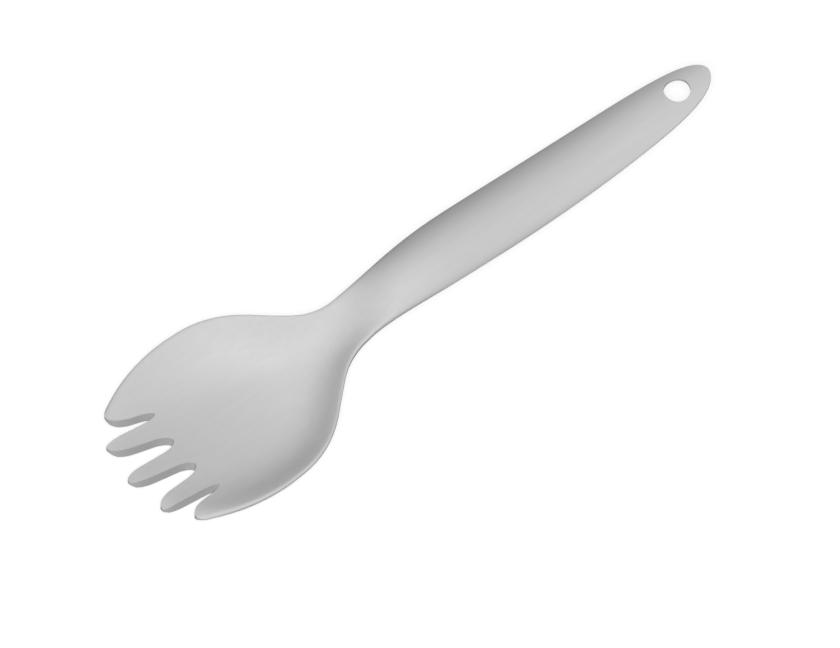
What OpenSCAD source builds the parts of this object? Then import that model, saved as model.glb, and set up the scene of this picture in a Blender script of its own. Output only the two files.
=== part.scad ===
// A camping spork moulded in one piece: five tines, a shallow bowl with a rolled rim,
// a pinched neck and an arched handle with a hang hole. Millimetres, +Z up.
// X runs from the tine tips to the end of the handle, Y across the bowl.
// The origin lies halfway along, on the plane under the lowest point of the bowl.

/* [Overall] */
// Length from the tip of the centre tine to the end of the handle
overall_length = 165; // [150:1:190]

/* [Bowl outline] */
// Greatest width of the bowl
bowl_width = 46.8; // [40:0.2:54]
// Distance from the centre tine's tip to the widest line
widest_from_tip = 28.2; // [24:0.2:34]
// Width of the bowl's outline at the centre tine's tip, before the tines are cut
front_width = 26.9; // [22:0.1:32]
// Distance from the centre tine's tip to the narrowest line of the neck
neck_from_tip = 65.4; // [60:0.2:72]
// Width of the neck
neck_width = 12.6; // [10:0.2:16]

/* [Bowl form] */
// Wall under the middle of the bowl and at the roots of the tines
bowl_wall = 3.35; // [2.4:0.05:4]
// Distance from the centre tine's tip to the lowest line of the floor
floor_from_tip = 35.8; // [32:0.2:40]
// Rise of the centre line from the lowest floor to the tips of the tines
tine_rise = 6.4; // [4:0.1:8]
// Height of the rim above the lowest floor, beside the centre tine's tip
front_rim_rise = 5.8; // [4:0.1:7]
// Height of the rim above the lowest floor at the neck
neck_rim_rise = 12.5; // [10:0.1:14]
// Wall left at the very edge of the rim
rim_wall = 1; // [0.7:0.05:1.4]
// Width of the band over which the rim rolls down to its edge
lip_width = 1.15; // [0.6:0.05:1.6]
// Drop of the rolled band
lip_drop = 0.6; // [0.2:0.05:0.8]

/* [Tines] */
// How far the outermost tips lie behind the centre tip
outer_tip_setback = 6.3; // [4:0.1:9]
// Distance of the outermost tips from the middle
outer_tip_offset = 16.65; // [15:0.05:18]
// How far the tips between them lie behind the centre tip
middle_tip_setback = 1.65; // [1:0.05:2.6]
// Distance of these tips from the middle
middle_tip_offset = 10.15; // [9.4:0.05:10.6]
// Length over which the outermost tips round off into the rim in plan
outer_corner_length = 1.6; // [1:0.1:4]
// Length over which each tine rounds off to its tip in plan, beside a slot
tip_round_length = 5.5; // [3:0.1:7]
// Form of that rounding: 1 is half an ellipse, and less is blunter
tip_round_share = 0.8; // [0.6:0.05:1]
// Wall at the very tip of a tine
tip_wall = 0.7; // [0.4:0.05:1]
// Length over which a tine thins towards its tip
tip_taper_length = 5.5; // [4:0.1:8]
// Drop of the upper face at the tip, where it levels out
tip_level_drop = 0.6; // [0.1:0.05:0.9]

/* [Slots] */
// Length over which each slot rounds off to its root in plan
root_round_length = 3.9; // [2:0.1:5]
// Distance from the centre tine's tip to the root of the inner slots
inner_root_from_tip = 15.9; // [12:0.1:20]
// Width of an inner slot at its root, before the root is rounded
inner_root_width = 3.25; // [2.5:0.05:4.5]
// Distance of an inner slot's root from the middle
inner_root_offset = 4.05; // [3.6:0.05:4.6]
// Width to which an inner slot opens at the line of the centre tip, before the tips are rounded
inner_mouth_width = 6.45; // [5:0.05:7]
// Distance of the middle of that opening from the middle
inner_mouth_offset = 4.75; // [4.5:0.05:5.1]
// Distance from the centre tine's tip to the root of the outer slots
outer_root_from_tip = 16.7; // [14:0.1:20]
// Width of an outer slot at its root, before the root is rounded
outer_root_width = 1.7; // [1.2:0.05:2.4]
// Distance of an outer slot's root from the middle
outer_root_offset = 11.7; // [11.3:0.05:12.2]
// Width to which an outer slot opens at the line of the centre tip, before the tips are rounded
outer_mouth_width = 4; // [3:0.1:5]
// Distance of the middle of that opening from the middle
outer_mouth_offset = 13; // [12.6:0.05:13.4]

/* [Handle] */
// Greatest width of the handle
grip_width = 16.5; // [14:0.1:20]
// Distance from the centre tine's tip to the widest line of the handle
grip_from_tip = 103; // [94:1:112]
// Distance from the centre tine's tip to the highest line of the handle
crest_from_tip = 87.5; // [82:0.5:92]
// Height of the handle's crest above the lowest floor of the bowl
crest_rise = 18.5; // [15:0.5:22]
// Fall of the centre line from the crest to the end of the handle
end_fall = 2.8; // [1:0.1:5]
// Drop from the middle of the handle to its rim at the crest
crest_drop = 4; // [3:0.1:5]
// Radius of the handle's arched upper face, behind the crest
arch_radius = 9; // [8:0.1:12]
// Width of the band over which the handle's face rounds down to its edge
grip_lip_width = 1; // [0.6:0.1:2]
// Drop of that rounded band, which fades out towards the end
grip_lip_drop = 1; // [0.4:0.1:1.4]
// Wall in the middle of the handle, at its widest line
grip_wall = 2; // [1.4:0.1:3]
// Wall left at the very edge of the handle's end
end_rim_wall = 0.45; // [0.3:0.05:0.7]
// Wall round the hang hole
end_wall = 0.85; // [0.7:0.05:1.6]

/* [Hang hole] */
// Diameter of the hang hole
hole_diameter = 6; // [4:0.1:6.6]
// Distance from the hole's axis to the end of the handle
hole_from_end = 8.9; // [8:0.1:11]

/* [Hidden] */
$fn = 48;

// Shares of the way from the widest line to the neck, and of the narrowing still to come there
shoulder_shares = [[0, 1], [0.17, 0.97], [0.32, 0.867], [0.46, 0.677], [0.6, 0.4],
                   [0.74, 0.142], [0.87, 0.023], [1, 0]];
// Exponents of the outline: bowl front, swelling handle, tapering handle and its round end
front_share = 2.05;
swell_shares = [1.75, 4.3];
taper_shares = [1.75, 9.4];
// Share of the handle's narrowing that is taper, the rest being the round end
taper_amount_share = 0.59;
// Exponents of the centre line ahead of the lowest floor and behind the crest
floor_share = 1.65;
fall_shares = [1.55, 4.3];
// Rim line from tips to neck: the share of its rise that is even, and the exponent of the rest
rim_even_share = 0.61;
rim_late_share = 8;
// Rim line from neck to crest: exponent of its easing
rim_crest_share = 2.55;
// Exponents across the width: the tines' and the bowl's flat floor with its level rim, the handle's
// arch with its plain rim, and the even wall
tine_pan_share = 3.65;
pan_share = 4.4;
level_rim_share = 1.6;
arch_share = 2.1;
arch_rim_share = 1;
wall_share = 6.5;
// Share of a tine's tapering length over which its upper face levels out
level_share = 0.8;
// Length over which the bowl's level rim turns into the handle's arch, as a share of neck to crest
neck_blend_share = 2;

// Worked out from the sizes above, along the part from the centre tine's tip
hole_from_tip = overall_length - hole_from_end;
thin_from_tip = hole_from_tip - hole_diameter;
neck_blend = (crest_from_tip - neck_from_tip) * neck_blend_share;
crest_rim_height = bowl_wall + crest_rise - crest_drop;
rim_setback = outer_tip_setback * 2;
// How far cuts run past the faces that they open, and past the rim where they come out of it
overrun = 2;
rim_clearance = 0.05;

// Stations along each zone of the loft, and points across its faces
front_stations = 18;
shoulder_stations = 20;
swell_stations = 14;
end_stations = 22;
upper_points = 20;
lip_points = 4;
lower_points = 18;
side_points = 12;
// Exponent by which the stations close up towards the round end of the handle
end_closing = 3;

function mix(a, b, t) = a + (b - a) * t;
function within(t) = max(0, min(1, t));
function smooth(t) = let (c = within(t)) c * c * (3 - 2 * c);
function smoother(t) = let (c = within(t)) c * c * c * (10 + c * (6 * c - 15));

// Smooth curve through rows of [place, value], with slopes taken from the neighbours
function slope(rows, i) =
    let (a = rows[max(i - 1, 0)], b = rows[min(i + 1, len(rows) - 1)])
    (b[1] - a[1]) / (b[0] - a[0]);
function row_before(rows, t) = max([for (i = [0 : len(rows) - 2]) if (i == 0 || rows[i][0] <= t) i]);
function through(rows, t) =
    let (i = row_before(rows, t), p = rows[i], q = rows[i + 1], h = q[0] - p[0], s = (t - p[0]) / h)
    mix(p[1], q[1], s * s * (3 - 2 * s))
        + h * s * (1 - s) * ((1 - s) * slope(rows, i) - s * slope(rows, i + 1));

// How much of the narrowing from bowl to neck is still to come
function shoulder(x) = x <= widest_from_tip ? 1
    : x >= neck_from_tip ? 0
    : through(shoulder_shares, (x - widest_from_tip) / (neck_from_tip - widest_from_tip));

// Plan outline
function front_half(x) =
    mix(bowl_width, front_width, pow((widest_from_tip - x) / widest_from_tip, front_share)) / 2;
function swell_half(t) =
    mix(neck_width, grip_width, 1 - pow(1 - pow(t, swell_shares[0]), swell_shares[1])) / 2;
function taper_half(t) = grip_width / 2 * sqrt(1 - taper_amount_share * pow(t, taper_shares[0])
    - (1 - taper_amount_share) * pow(t, taper_shares[1]));
function half_width(x) = x < widest_from_tip ? front_half(x)
    : x < neck_from_tip ? mix(neck_width, bowl_width, shoulder(x)) / 2
    : x < grip_from_tip ? swell_half((x - neck_from_tip) / (grip_from_tip - neck_from_tip))
    : taper_half((x - grip_from_tip) / (overall_length - grip_from_tip));

// Line through the tips of the tines, and how far behind it a place lies
tip_line_points = [[0, 0], [middle_tip_offset, middle_tip_setback], [outer_tip_offset, outer_tip_setback],
                   [bowl_width / 2, rim_setback]];
function tip_line(y) = through(tip_line_points, min(abs(y), bowl_width / 2));
function behind_tips(x, y) = max(0, x - tip_line(y));

// Height of the upper face along the middle
function fallen(t) = 1 - pow(1 - pow(t, fall_shares[0]), fall_shares[1]);
function centre_height(x) = bowl_wall + (
    x < floor_from_tip ? tine_rise * pow((floor_from_tip - x) / floor_from_tip, floor_share)
    : x < crest_from_tip ? crest_rise * smoother((x - floor_from_tip) / (crest_from_tip - floor_from_tip))
    : crest_rise - end_fall * fallen((x - crest_from_tip) / (overall_length - crest_from_tip)));

// Height of the upper face along the rim
function climbed(t) = rim_even_share * t + (1 - rim_even_share) * pow(max(0, t), rim_late_share);
function arch_drop(x) = mix(crest_drop, pow(half_width(x), 2) / (2 * arch_radius),
    smooth((x - crest_from_tip) / (grip_from_tip - crest_from_tip) / 2));
function rim_height(x) =
    x < neck_from_tip ? bowl_wall + mix(front_rim_rise, neck_rim_rise, climbed(x / neck_from_tip))
    : x < crest_from_tip ? mix(crest_rim_height, bowl_wall + neck_rim_rise,
        pow((crest_from_tip - x) / (crest_from_tip - neck_from_tip), rim_crest_share))
    : centre_height(x) - arch_drop(x);

// Height of the upper face anywhere, before its edge is rolled
function flatness(x) = x < widest_from_tip ? mix(pan_share, tine_pan_share, smooth(1 - x / widest_from_tip))
    : mix(arch_share, pan_share, pow(shoulder(x), 2));
function rim_levelness(x) =
    mix(level_rim_share, arch_rim_share, smooth((x - neck_from_tip) / neck_blend + 1 / 2));
function across(x, u) = 1 - pow(max(0, 1 - pow(u, flatness(x))), rim_levelness(x));
function levelling(x, y) =
    tip_level_drop * pow(1 - within(behind_tips(x, y) / (tip_taper_length * level_share)), 2);
function face_height(x, y) =
    mix(centre_height(x), rim_height(x), across(x, min(1, abs(y) / half_width(x)))) - levelling(x, y);

// Wall thickness: even over most of the width, thin at the rim, the tips and the handle's end
function onto_grip(x) = smooth((x - neck_from_tip) / (grip_from_tip - neck_from_tip));
function onto_end(x) = smooth((x - grip_from_tip) / (thin_from_tip - grip_from_tip));
function along(x, bowl, grip, end) = mix(mix(bowl, grip, onto_grip(x)), end, onto_end(x));
function middle_wall(x) = along(x, bowl_wall, grip_wall, end_wall);
function edge_wall(x) = along(x, rim_wall, rim_wall, end_rim_wall);
function tip_fullness(x, y) = sqrt(1 - pow(1 - within(behind_tips(x, y) / tip_taper_length), 2));
function wall_fullness(x, y) = sqrt(max(0, 1 - pow(abs(y) / half_width(x), wall_share)));
function wall(x, y) =
    mix(tip_wall, mix(edge_wall(x), middle_wall(x), wall_fullness(x, y)), tip_fullness(x, y));

// One closed section of the loft: upper face from -Y to +Y with its rolled lips, then the underside
function section(x) =
    let (w = half_width(x), lip = min(along(x, lip_width, grip_lip_width, grip_lip_width), w / 2),
        drop = along(x, lip_drop, grip_lip_drop, 0))
    concat(
        [for (k = [lip_points : -1 : 1]) lip_point(x, -1, w, lip, drop, 90 * k / lip_points)],
        [for (j = [0 : upper_points])
            let (y = (w - lip) * (2 * j / upper_points - 1)) [x, y, face_height(x, y)]],
        [for (k = [1 : lip_points]) lip_point(x, 1, w, lip, drop, 90 * k / lip_points)],
        [for (j = [0 : lower_points])
            let (y = w * cos(180 * j / lower_points)) [x, y, face_height(x, y) - wall(x, y)]]);
function lip_point(x, side, w, lip, drop, turn) =
    let (y = side * (w - lip + lip * sin(turn)))
    [x, y, face_height(x, y) - drop * (1 - cos(turn))];

// Places of the sections, closing up towards the round end of the handle
function evenly(a, b, n) = [for (i = [0 : n - 1]) mix(a, b, i / n)];
stations = concat(
    evenly(-overrun, widest_from_tip, front_stations),
    evenly(widest_from_tip, neck_from_tip, shoulder_stations),
    evenly(neck_from_tip, grip_from_tip, swell_stations),
    [for (i = [0 : end_stations - 1])
        mix(grip_from_tip, overall_length, 1 - pow(1 - i / end_stations, end_closing))]);

// Loft through the sections, closed by its first and last one
module blank() {
    rings = [for (x = stations) section(x)];
    n = len(rings[0]);
    last = (len(rings) - 1) * n;
    sides = [for (i = [0 : len(rings) - 2], j = [0 : n - 1])
        let (a = i * n + j, b = i * n + (j + 1) % n) each [[a, b, b + n], [a, b + n, a + n]]];
    polyhedron([for (ring = rings) each ring],
        concat([[for (j = [n - 1 : -1 : 0]) j]], [[for (j = [0 : n - 1]) last + j]], sides));
}

// A slot's root is [distance from the centre tip, offset, width], its mouth [offset, width] and a tip
// [distance from the centre tip, offset]. Side is -1 or 1 for its two sides and 0 for its middle.
function slot_offset(x, root, mouth, side) =
    let (t = x / root[0]) mix(mouth[0], root[1], t) + side * mix(mouth[1], root[2], t) / 2;

// Outline of one side of a slot, round the tip of the tine beside it and down to the slot's root
function slot_side(root, mouth, side, tip) =
    let (room = root[0] - tip[0], root_length = min(root_round_length, room / 2),
        tip_length = min(tip_round_length, room - root_length))
    concat(
        [[-overrun * 2, tip[1]]],
        [for (i = [0 : side_points])
            let (turn = 90 * i / side_points,
                x = tip[0] + tip_length * (1 - pow(cos(turn), tip_round_share)))
            [x, mix(tip[1], slot_offset(x, root, mouth, side), pow(sin(turn), tip_round_share))]],
        [for (i = [side_points : -1 : 0])
            let (turn = 90 * i / side_points, x = root[0] - root_length * (1 - cos(turn)))
            [x, slot_offset(x, root, mouth, side * sin(turn))]]);
module slot(root, mouth, inner_tip, outer_tip) {
    inner = slot_side(root, mouth, -1, inner_tip);
    outer = slot_side(root, mouth, 1, outer_tip);
    polygon(concat(inner, [for (i = [len(outer) - 1 : -1 : 0]) outer[i]]));
}

// Plan of what is cut away ahead of an outermost tip, round its corner and out past the rim
module corner(tip) {
    polygon(concat(
        [[-overrun * 2, bowl_width / 2], [-overrun * 2, tip[1]]],
        [for (i = [0 : side_points])
            let (turn = 90 * i / side_points, x = tip[0] + outer_corner_length * (1 - cos(turn)))
            [x, mix(tip[1], half_width(x) + rim_clearance, sin(turn))]],
        [[tip[0] + outer_corner_length, bowl_width / 2]]));
}

// Plan of what is cut away ahead of the tips and between the tines
module gaps() {
    centre_tip = [0, 0];
    middle_tip = [middle_tip_setback, middle_tip_offset];
    outer_tip = [outer_tip_setback, outer_tip_offset];
    for (side = [0, 1]) mirror([0, side]) {
        slot([inner_root_from_tip, inner_root_offset, inner_root_width],
            [inner_mouth_offset, inner_mouth_width], centre_tip, middle_tip);
        slot([outer_root_from_tip, outer_root_offset, outer_root_width],
            [outer_mouth_offset, outer_mouth_width], middle_tip, outer_tip);
        corner(outer_tip);
    }
}

module spork() {
    cut_height = crest_rise + bowl_wall + overrun * 2;
    color("lightgray") translate([-overall_length / 2, 0, 0]) difference() {
        blank();
        translate([0, 0, -overrun]) linear_extrude(cut_height) gaps();
        translate([hole_from_tip, 0, -overrun]) cylinder(d = hole_diameter, h = cut_height);
    }
}

spork();
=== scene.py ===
"""A camping spork moulded in one piece of matte grey plastic, on a plain pale floor."""

import math

import bpy
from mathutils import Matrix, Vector


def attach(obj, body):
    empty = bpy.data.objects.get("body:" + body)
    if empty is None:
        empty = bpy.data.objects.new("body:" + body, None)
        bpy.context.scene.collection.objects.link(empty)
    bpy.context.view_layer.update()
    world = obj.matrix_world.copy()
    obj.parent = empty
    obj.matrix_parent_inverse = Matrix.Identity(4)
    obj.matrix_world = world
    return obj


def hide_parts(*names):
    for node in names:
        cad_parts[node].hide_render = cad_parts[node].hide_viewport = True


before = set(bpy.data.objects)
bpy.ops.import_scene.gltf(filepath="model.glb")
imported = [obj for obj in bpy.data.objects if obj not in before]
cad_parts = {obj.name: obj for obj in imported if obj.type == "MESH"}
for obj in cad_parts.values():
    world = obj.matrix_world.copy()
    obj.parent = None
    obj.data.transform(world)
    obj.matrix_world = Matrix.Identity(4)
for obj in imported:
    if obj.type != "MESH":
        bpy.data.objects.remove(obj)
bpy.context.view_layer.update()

# The spork is one injection moulding: five tines, a bowl with a rolled rim, a neck, and a handle with a
# hang hole. Its faces come smooth out of the mould, and it has an edge only where the mould's halves and
# cores meet: round the slots, along the tips and at the hang hole.
SAME_POINT = 0.00001
QUAD_BEND = math.radians(20)
QUAD_SKEW = math.radians(50)
EDGE_ANGLE = math.radians(38)

bpy.ops.object.select_all(action="DESELECT")
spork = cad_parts["spork"].copy()
spork.data = spork.data.copy()
spork.name = "spork_moulding"
bpy.context.scene.collection.objects.link(spork)
spork.select_set(True)
bpy.context.view_layer.objects.active = spork
bpy.ops.mesh.customdata_custom_splitnormals_clear()
bpy.ops.object.mode_set(mode="EDIT")
bpy.ops.mesh.select_all(action="SELECT")
bpy.ops.mesh.remove_doubles(threshold=SAME_POINT)
bpy.ops.mesh.tris_convert_to_quads(face_threshold=QUAD_BEND, shape_threshold=QUAD_SKEW)
bpy.ops.object.mode_set(mode="OBJECT")
bpy.ops.object.shade_smooth_by_angle(angle=EDGE_ANGLE)

# The plastic is a tough light grey, coloured all through, with the fine grain of a spark-eroded mould.
# It filled the mould lengthwise, which leaves faint drawn-out flow marks in its tone and in its sheen.
# Use has taken the sharpness off its edges, and rubbed them a little smoother and paler than the faces.
PLASTIC_GREY = (0.67, 0.67, 0.67, 1)
PLASTIC_SHADE = (0.645, 0.645, 0.645, 1)
PLASTIC_RUBBED = (0.68, 0.68, 0.68, 1)
EDGE_RADIUS = 0.0001
EDGE_SAMPLES = 6
FACE_ALIGNED = 0.98
EDGE_ALIGNED = 0.8
FLOW_STRETCH = (0.08, 1, 1)
FLOW_SCALE = 900
FLOW_DETAIL = 4
SHEEN_SCALE = 160
NOISE_LOW = 0.3
NOISE_HIGH = 0.7
MATTE_LOW = 0.55
MATTE_HIGH = 0.72
RUBBED_SHARE = 0.5
RUBBED_SHEEN = -0.12
GRAIN_SCALE = 3200
GRAIN_DETAIL = 2
GRAIN_DEPTH = 0.00001
GRAIN_STRENGTH = 0.35
SPECULAR_LEVEL = 0.2

plastic = bpy.data.materials.new("moulded_plastic")
plastic.use_nodes = True
nodes = plastic.node_tree.nodes
links = plastic.node_tree.links
skin = nodes["Principled BSDF"]
skin.inputs["Specular IOR Level"].default_value = SPECULAR_LEVEL
place = nodes.new("ShaderNodeTexCoord")

# Flow marks, drawn out along the spork, shift its tone between two greys.
drawn_out = nodes.new("ShaderNodeMapping")
drawn_out.inputs["Scale"].default_value = FLOW_STRETCH
links.new(place.outputs["Object"], drawn_out.inputs["Vector"])
flow = nodes.new("ShaderNodeTexNoise")
flow.inputs["Scale"].default_value = FLOW_SCALE
flow.inputs["Detail"].default_value = FLOW_DETAIL
links.new(drawn_out.outputs["Vector"], flow.inputs["Vector"])
flow_tone = nodes.new("ShaderNodeValToRGB")
flow_tone.color_ramp.elements[0].position = NOISE_LOW
flow_tone.color_ramp.elements[0].color = PLASTIC_SHADE
flow_tone.color_ramp.elements[1].position = NOISE_HIGH
flow_tone.color_ramp.elements[1].color = PLASTIC_GREY
links.new(flow.outputs["Fac"], flow_tone.inputs["Fac"])

# An edge is where the rounded normal leaves the normal of the face, and there the tone is rubbed paler.
face = nodes.new("ShaderNodeNewGeometry")
round_edge = nodes.new("ShaderNodeBevel")
round_edge.samples = EDGE_SAMPLES
round_edge.inputs["Radius"].default_value = EDGE_RADIUS
aligned = nodes.new("ShaderNodeVectorMath")
aligned.operation = "DOT_PRODUCT"
links.new(face.outputs["Normal"], aligned.inputs[0])
links.new(round_edge.outputs["Normal"], aligned.inputs[1])
rubbed = nodes.new("ShaderNodeMapRange")
rubbed.inputs["From Min"].default_value = FACE_ALIGNED
rubbed.inputs["From Max"].default_value = EDGE_ALIGNED
rubbed.inputs["To Max"].default_value = RUBBED_SHARE
links.new(aligned.outputs["Value"], rubbed.inputs["Value"])
tone = nodes.new("ShaderNodeMix")
tone.data_type = "RGBA"
tone_sockets = {socket.identifier: socket for socket in tone.inputs}
tone_sockets["B_Color"].default_value = PLASTIC_RUBBED
links.new(rubbed.outputs["Result"], tone_sockets["Factor_Float"])
links.new(flow_tone.outputs["Color"], tone_sockets["A_Color"])
tone_result = {socket.identifier: socket for socket in tone.outputs}["Result_Color"]
links.new(tone_result, skin.inputs["Base Color"])

# The sheen changes in long patches, and a rubbed edge is smoother.
patches = nodes.new("ShaderNodeTexNoise")
patches.inputs["Scale"].default_value = SHEEN_SCALE
links.new(drawn_out.outputs["Vector"], patches.inputs["Vector"])
matte = nodes.new("ShaderNodeMapRange")
matte.inputs["From Min"].default_value = NOISE_LOW
matte.inputs["From Max"].default_value = NOISE_HIGH
matte.inputs["To Min"].default_value = MATTE_LOW
matte.inputs["To Max"].default_value = MATTE_HIGH
links.new(patches.outputs["Fac"], matte.inputs["Value"])
rub = nodes.new("ShaderNodeMath")
rub.operation = "MULTIPLY_ADD"
rub.inputs[1].default_value = RUBBED_SHEEN
links.new(rubbed.outputs["Result"], rub.inputs[0])
links.new(matte.outputs["Result"], rub.inputs[2])
links.new(rub.outputs["Value"], skin.inputs["Roughness"])

# The mould's grain pits the faces, on top of the rounded edges.
grain = nodes.new("ShaderNodeTexNoise")
grain.inputs["Scale"].default_value = GRAIN_SCALE
grain.inputs["Detail"].default_value = GRAIN_DETAIL
links.new(place.outputs["Object"], grain.inputs["Vector"])
pitting = nodes.new("ShaderNodeBump")
pitting.inputs["Strength"].default_value = GRAIN_STRENGTH
pitting.inputs["Distance"].default_value = GRAIN_DEPTH
links.new(grain.outputs["Fac"], pitting.inputs["Height"])
links.new(round_edge.outputs["Normal"], pitting.inputs["Normal"])
links.new(pitting.outputs["Normal"], skin.inputs["Normal"])

spork.data.materials.clear()
spork.data.materials.append(plastic)
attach(spork, "root")
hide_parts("spork")

# The floor is a large plain sheet under the bowl's lowest point.
# It is white where the camera sees it, and keeps the spork's soft shadow.
FLOOR_SIDE = 4
FLOOR_GREY = (0.22, 0.22, 0.22, 1)
FLOOR_ROUGHNESS = 0.9
FLOOR_LIFT = 0.82
WHITE = (1, 1, 1, 1)


def seen_by_eye(tree):
    """A socket that is 1 for what is seen straight, mirrored or through glass, and 0 for other light."""
    rays = tree.nodes.new("ShaderNodeLightPath")
    straight_or_mirrored = tree.nodes.new("ShaderNodeMath")
    straight_or_mirrored.operation = "MAXIMUM"
    tree.links.new(rays.outputs["Is Camera Ray"], straight_or_mirrored.inputs[0])
    tree.links.new(rays.outputs["Is Glossy Ray"], straight_or_mirrored.inputs[1])
    any_way = tree.nodes.new("ShaderNodeMath")
    any_way.operation = "MAXIMUM"
    tree.links.new(straight_or_mirrored.outputs["Value"], any_way.inputs[0])
    tree.links.new(rays.outputs["Is Transmission Ray"], any_way.inputs[1])
    return any_way.outputs["Value"]


bpy.ops.object.select_all(action="DESELECT")
bpy.ops.mesh.primitive_plane_add(size=FLOOR_SIDE, location=(0, 0, 0))
floor = bpy.context.active_object
floor.name = "floor"
sheet = bpy.data.materials.new("pale_floor")
sheet.use_nodes = True
nodes = sheet.node_tree.nodes
links = sheet.node_tree.links
paper = nodes["Principled BSDF"]
paper.inputs["Base Color"].default_value = FLOOR_GREY
paper.inputs["Roughness"].default_value = FLOOR_ROUGHNESS
paper.inputs["Emission Color"].default_value = WHITE
lift = nodes.new("ShaderNodeMath")
lift.operation = "MULTIPLY"
lift.inputs[1].default_value = FLOOR_LIFT
links.new(seen_by_eye(sheet.node_tree), lift.inputs[0])
links.new(lift.outputs["Value"], paper.inputs["Emission Strength"])
floor.data.materials.append(sheet)

# The camera looks down on the spork from 59 degrees up, 38 degrees round from its side towards the tines.
# Its lens keeps parallel lines parallel, so the far end of the handle is drawn at the scale of the bowl.
VIEW_WIDTH = 0.18806
CAMERA_TURN = math.radians(-38.15)
CAMERA_RISE = math.radians(59)
CAMERA_DISTANCE = 0.8
LOOK_AT = (-0.00544, -0.0075, 0.0082)

aim = Vector(LOOK_AT)
towards_camera = Vector((
    math.sin(CAMERA_TURN) * math.cos(CAMERA_RISE),
    -math.cos(CAMERA_TURN) * math.cos(CAMERA_RISE),
    math.sin(CAMERA_RISE),
))
lens = bpy.data.cameras.new("camera")
lens.type = "ORTHO"
lens.ortho_scale = VIEW_WIDTH
camera = bpy.data.objects.new("camera", lens)
camera.location = aim + towards_camera * CAMERA_DISTANCE
camera.rotation_euler = (-towards_camera).to_track_quat("-Z", "Y").to_euler()
bpy.context.scene.collection.objects.link(camera)
bpy.context.scene.camera = camera

# One broad soft light shines the way the camera looks, so the shadow falls behind the spork.
# A white room all round shows in reflections, and only its faint light fills the shadows.
KEY_STRENGTH = 2.69
KEY_SOFTNESS = math.radians(12)
ROOM_LIGHT = 0.07
ROOM_SEEN = 1

key = bpy.data.lights.new("key_light", "SUN")
key.energy = KEY_STRENGTH
key.angle = KEY_SOFTNESS
key_light = bpy.data.objects.new("key_light", key)
key_light.rotation_euler = (-towards_camera).to_track_quat("-Z", "Y").to_euler()
bpy.context.scene.collection.objects.link(key_light)

room = bpy.data.worlds.new("room")
bpy.context.scene.world = room
room.use_nodes = True
nodes = room.node_tree.nodes
links = room.node_tree.links
air = nodes["Background"]
air.inputs["Color"].default_value = WHITE
level = nodes.new("ShaderNodeMapRange")
level.inputs["To Min"].default_value = ROOM_LIGHT
level.inputs["To Max"].default_value = ROOM_SEEN
links.new(seen_by_eye(room.node_tree), level.inputs["Value"])
links.new(level.outputs["Result"], air.inputs["Strength"])

bpy.context.scene.view_settings.view_transform = "Standard"
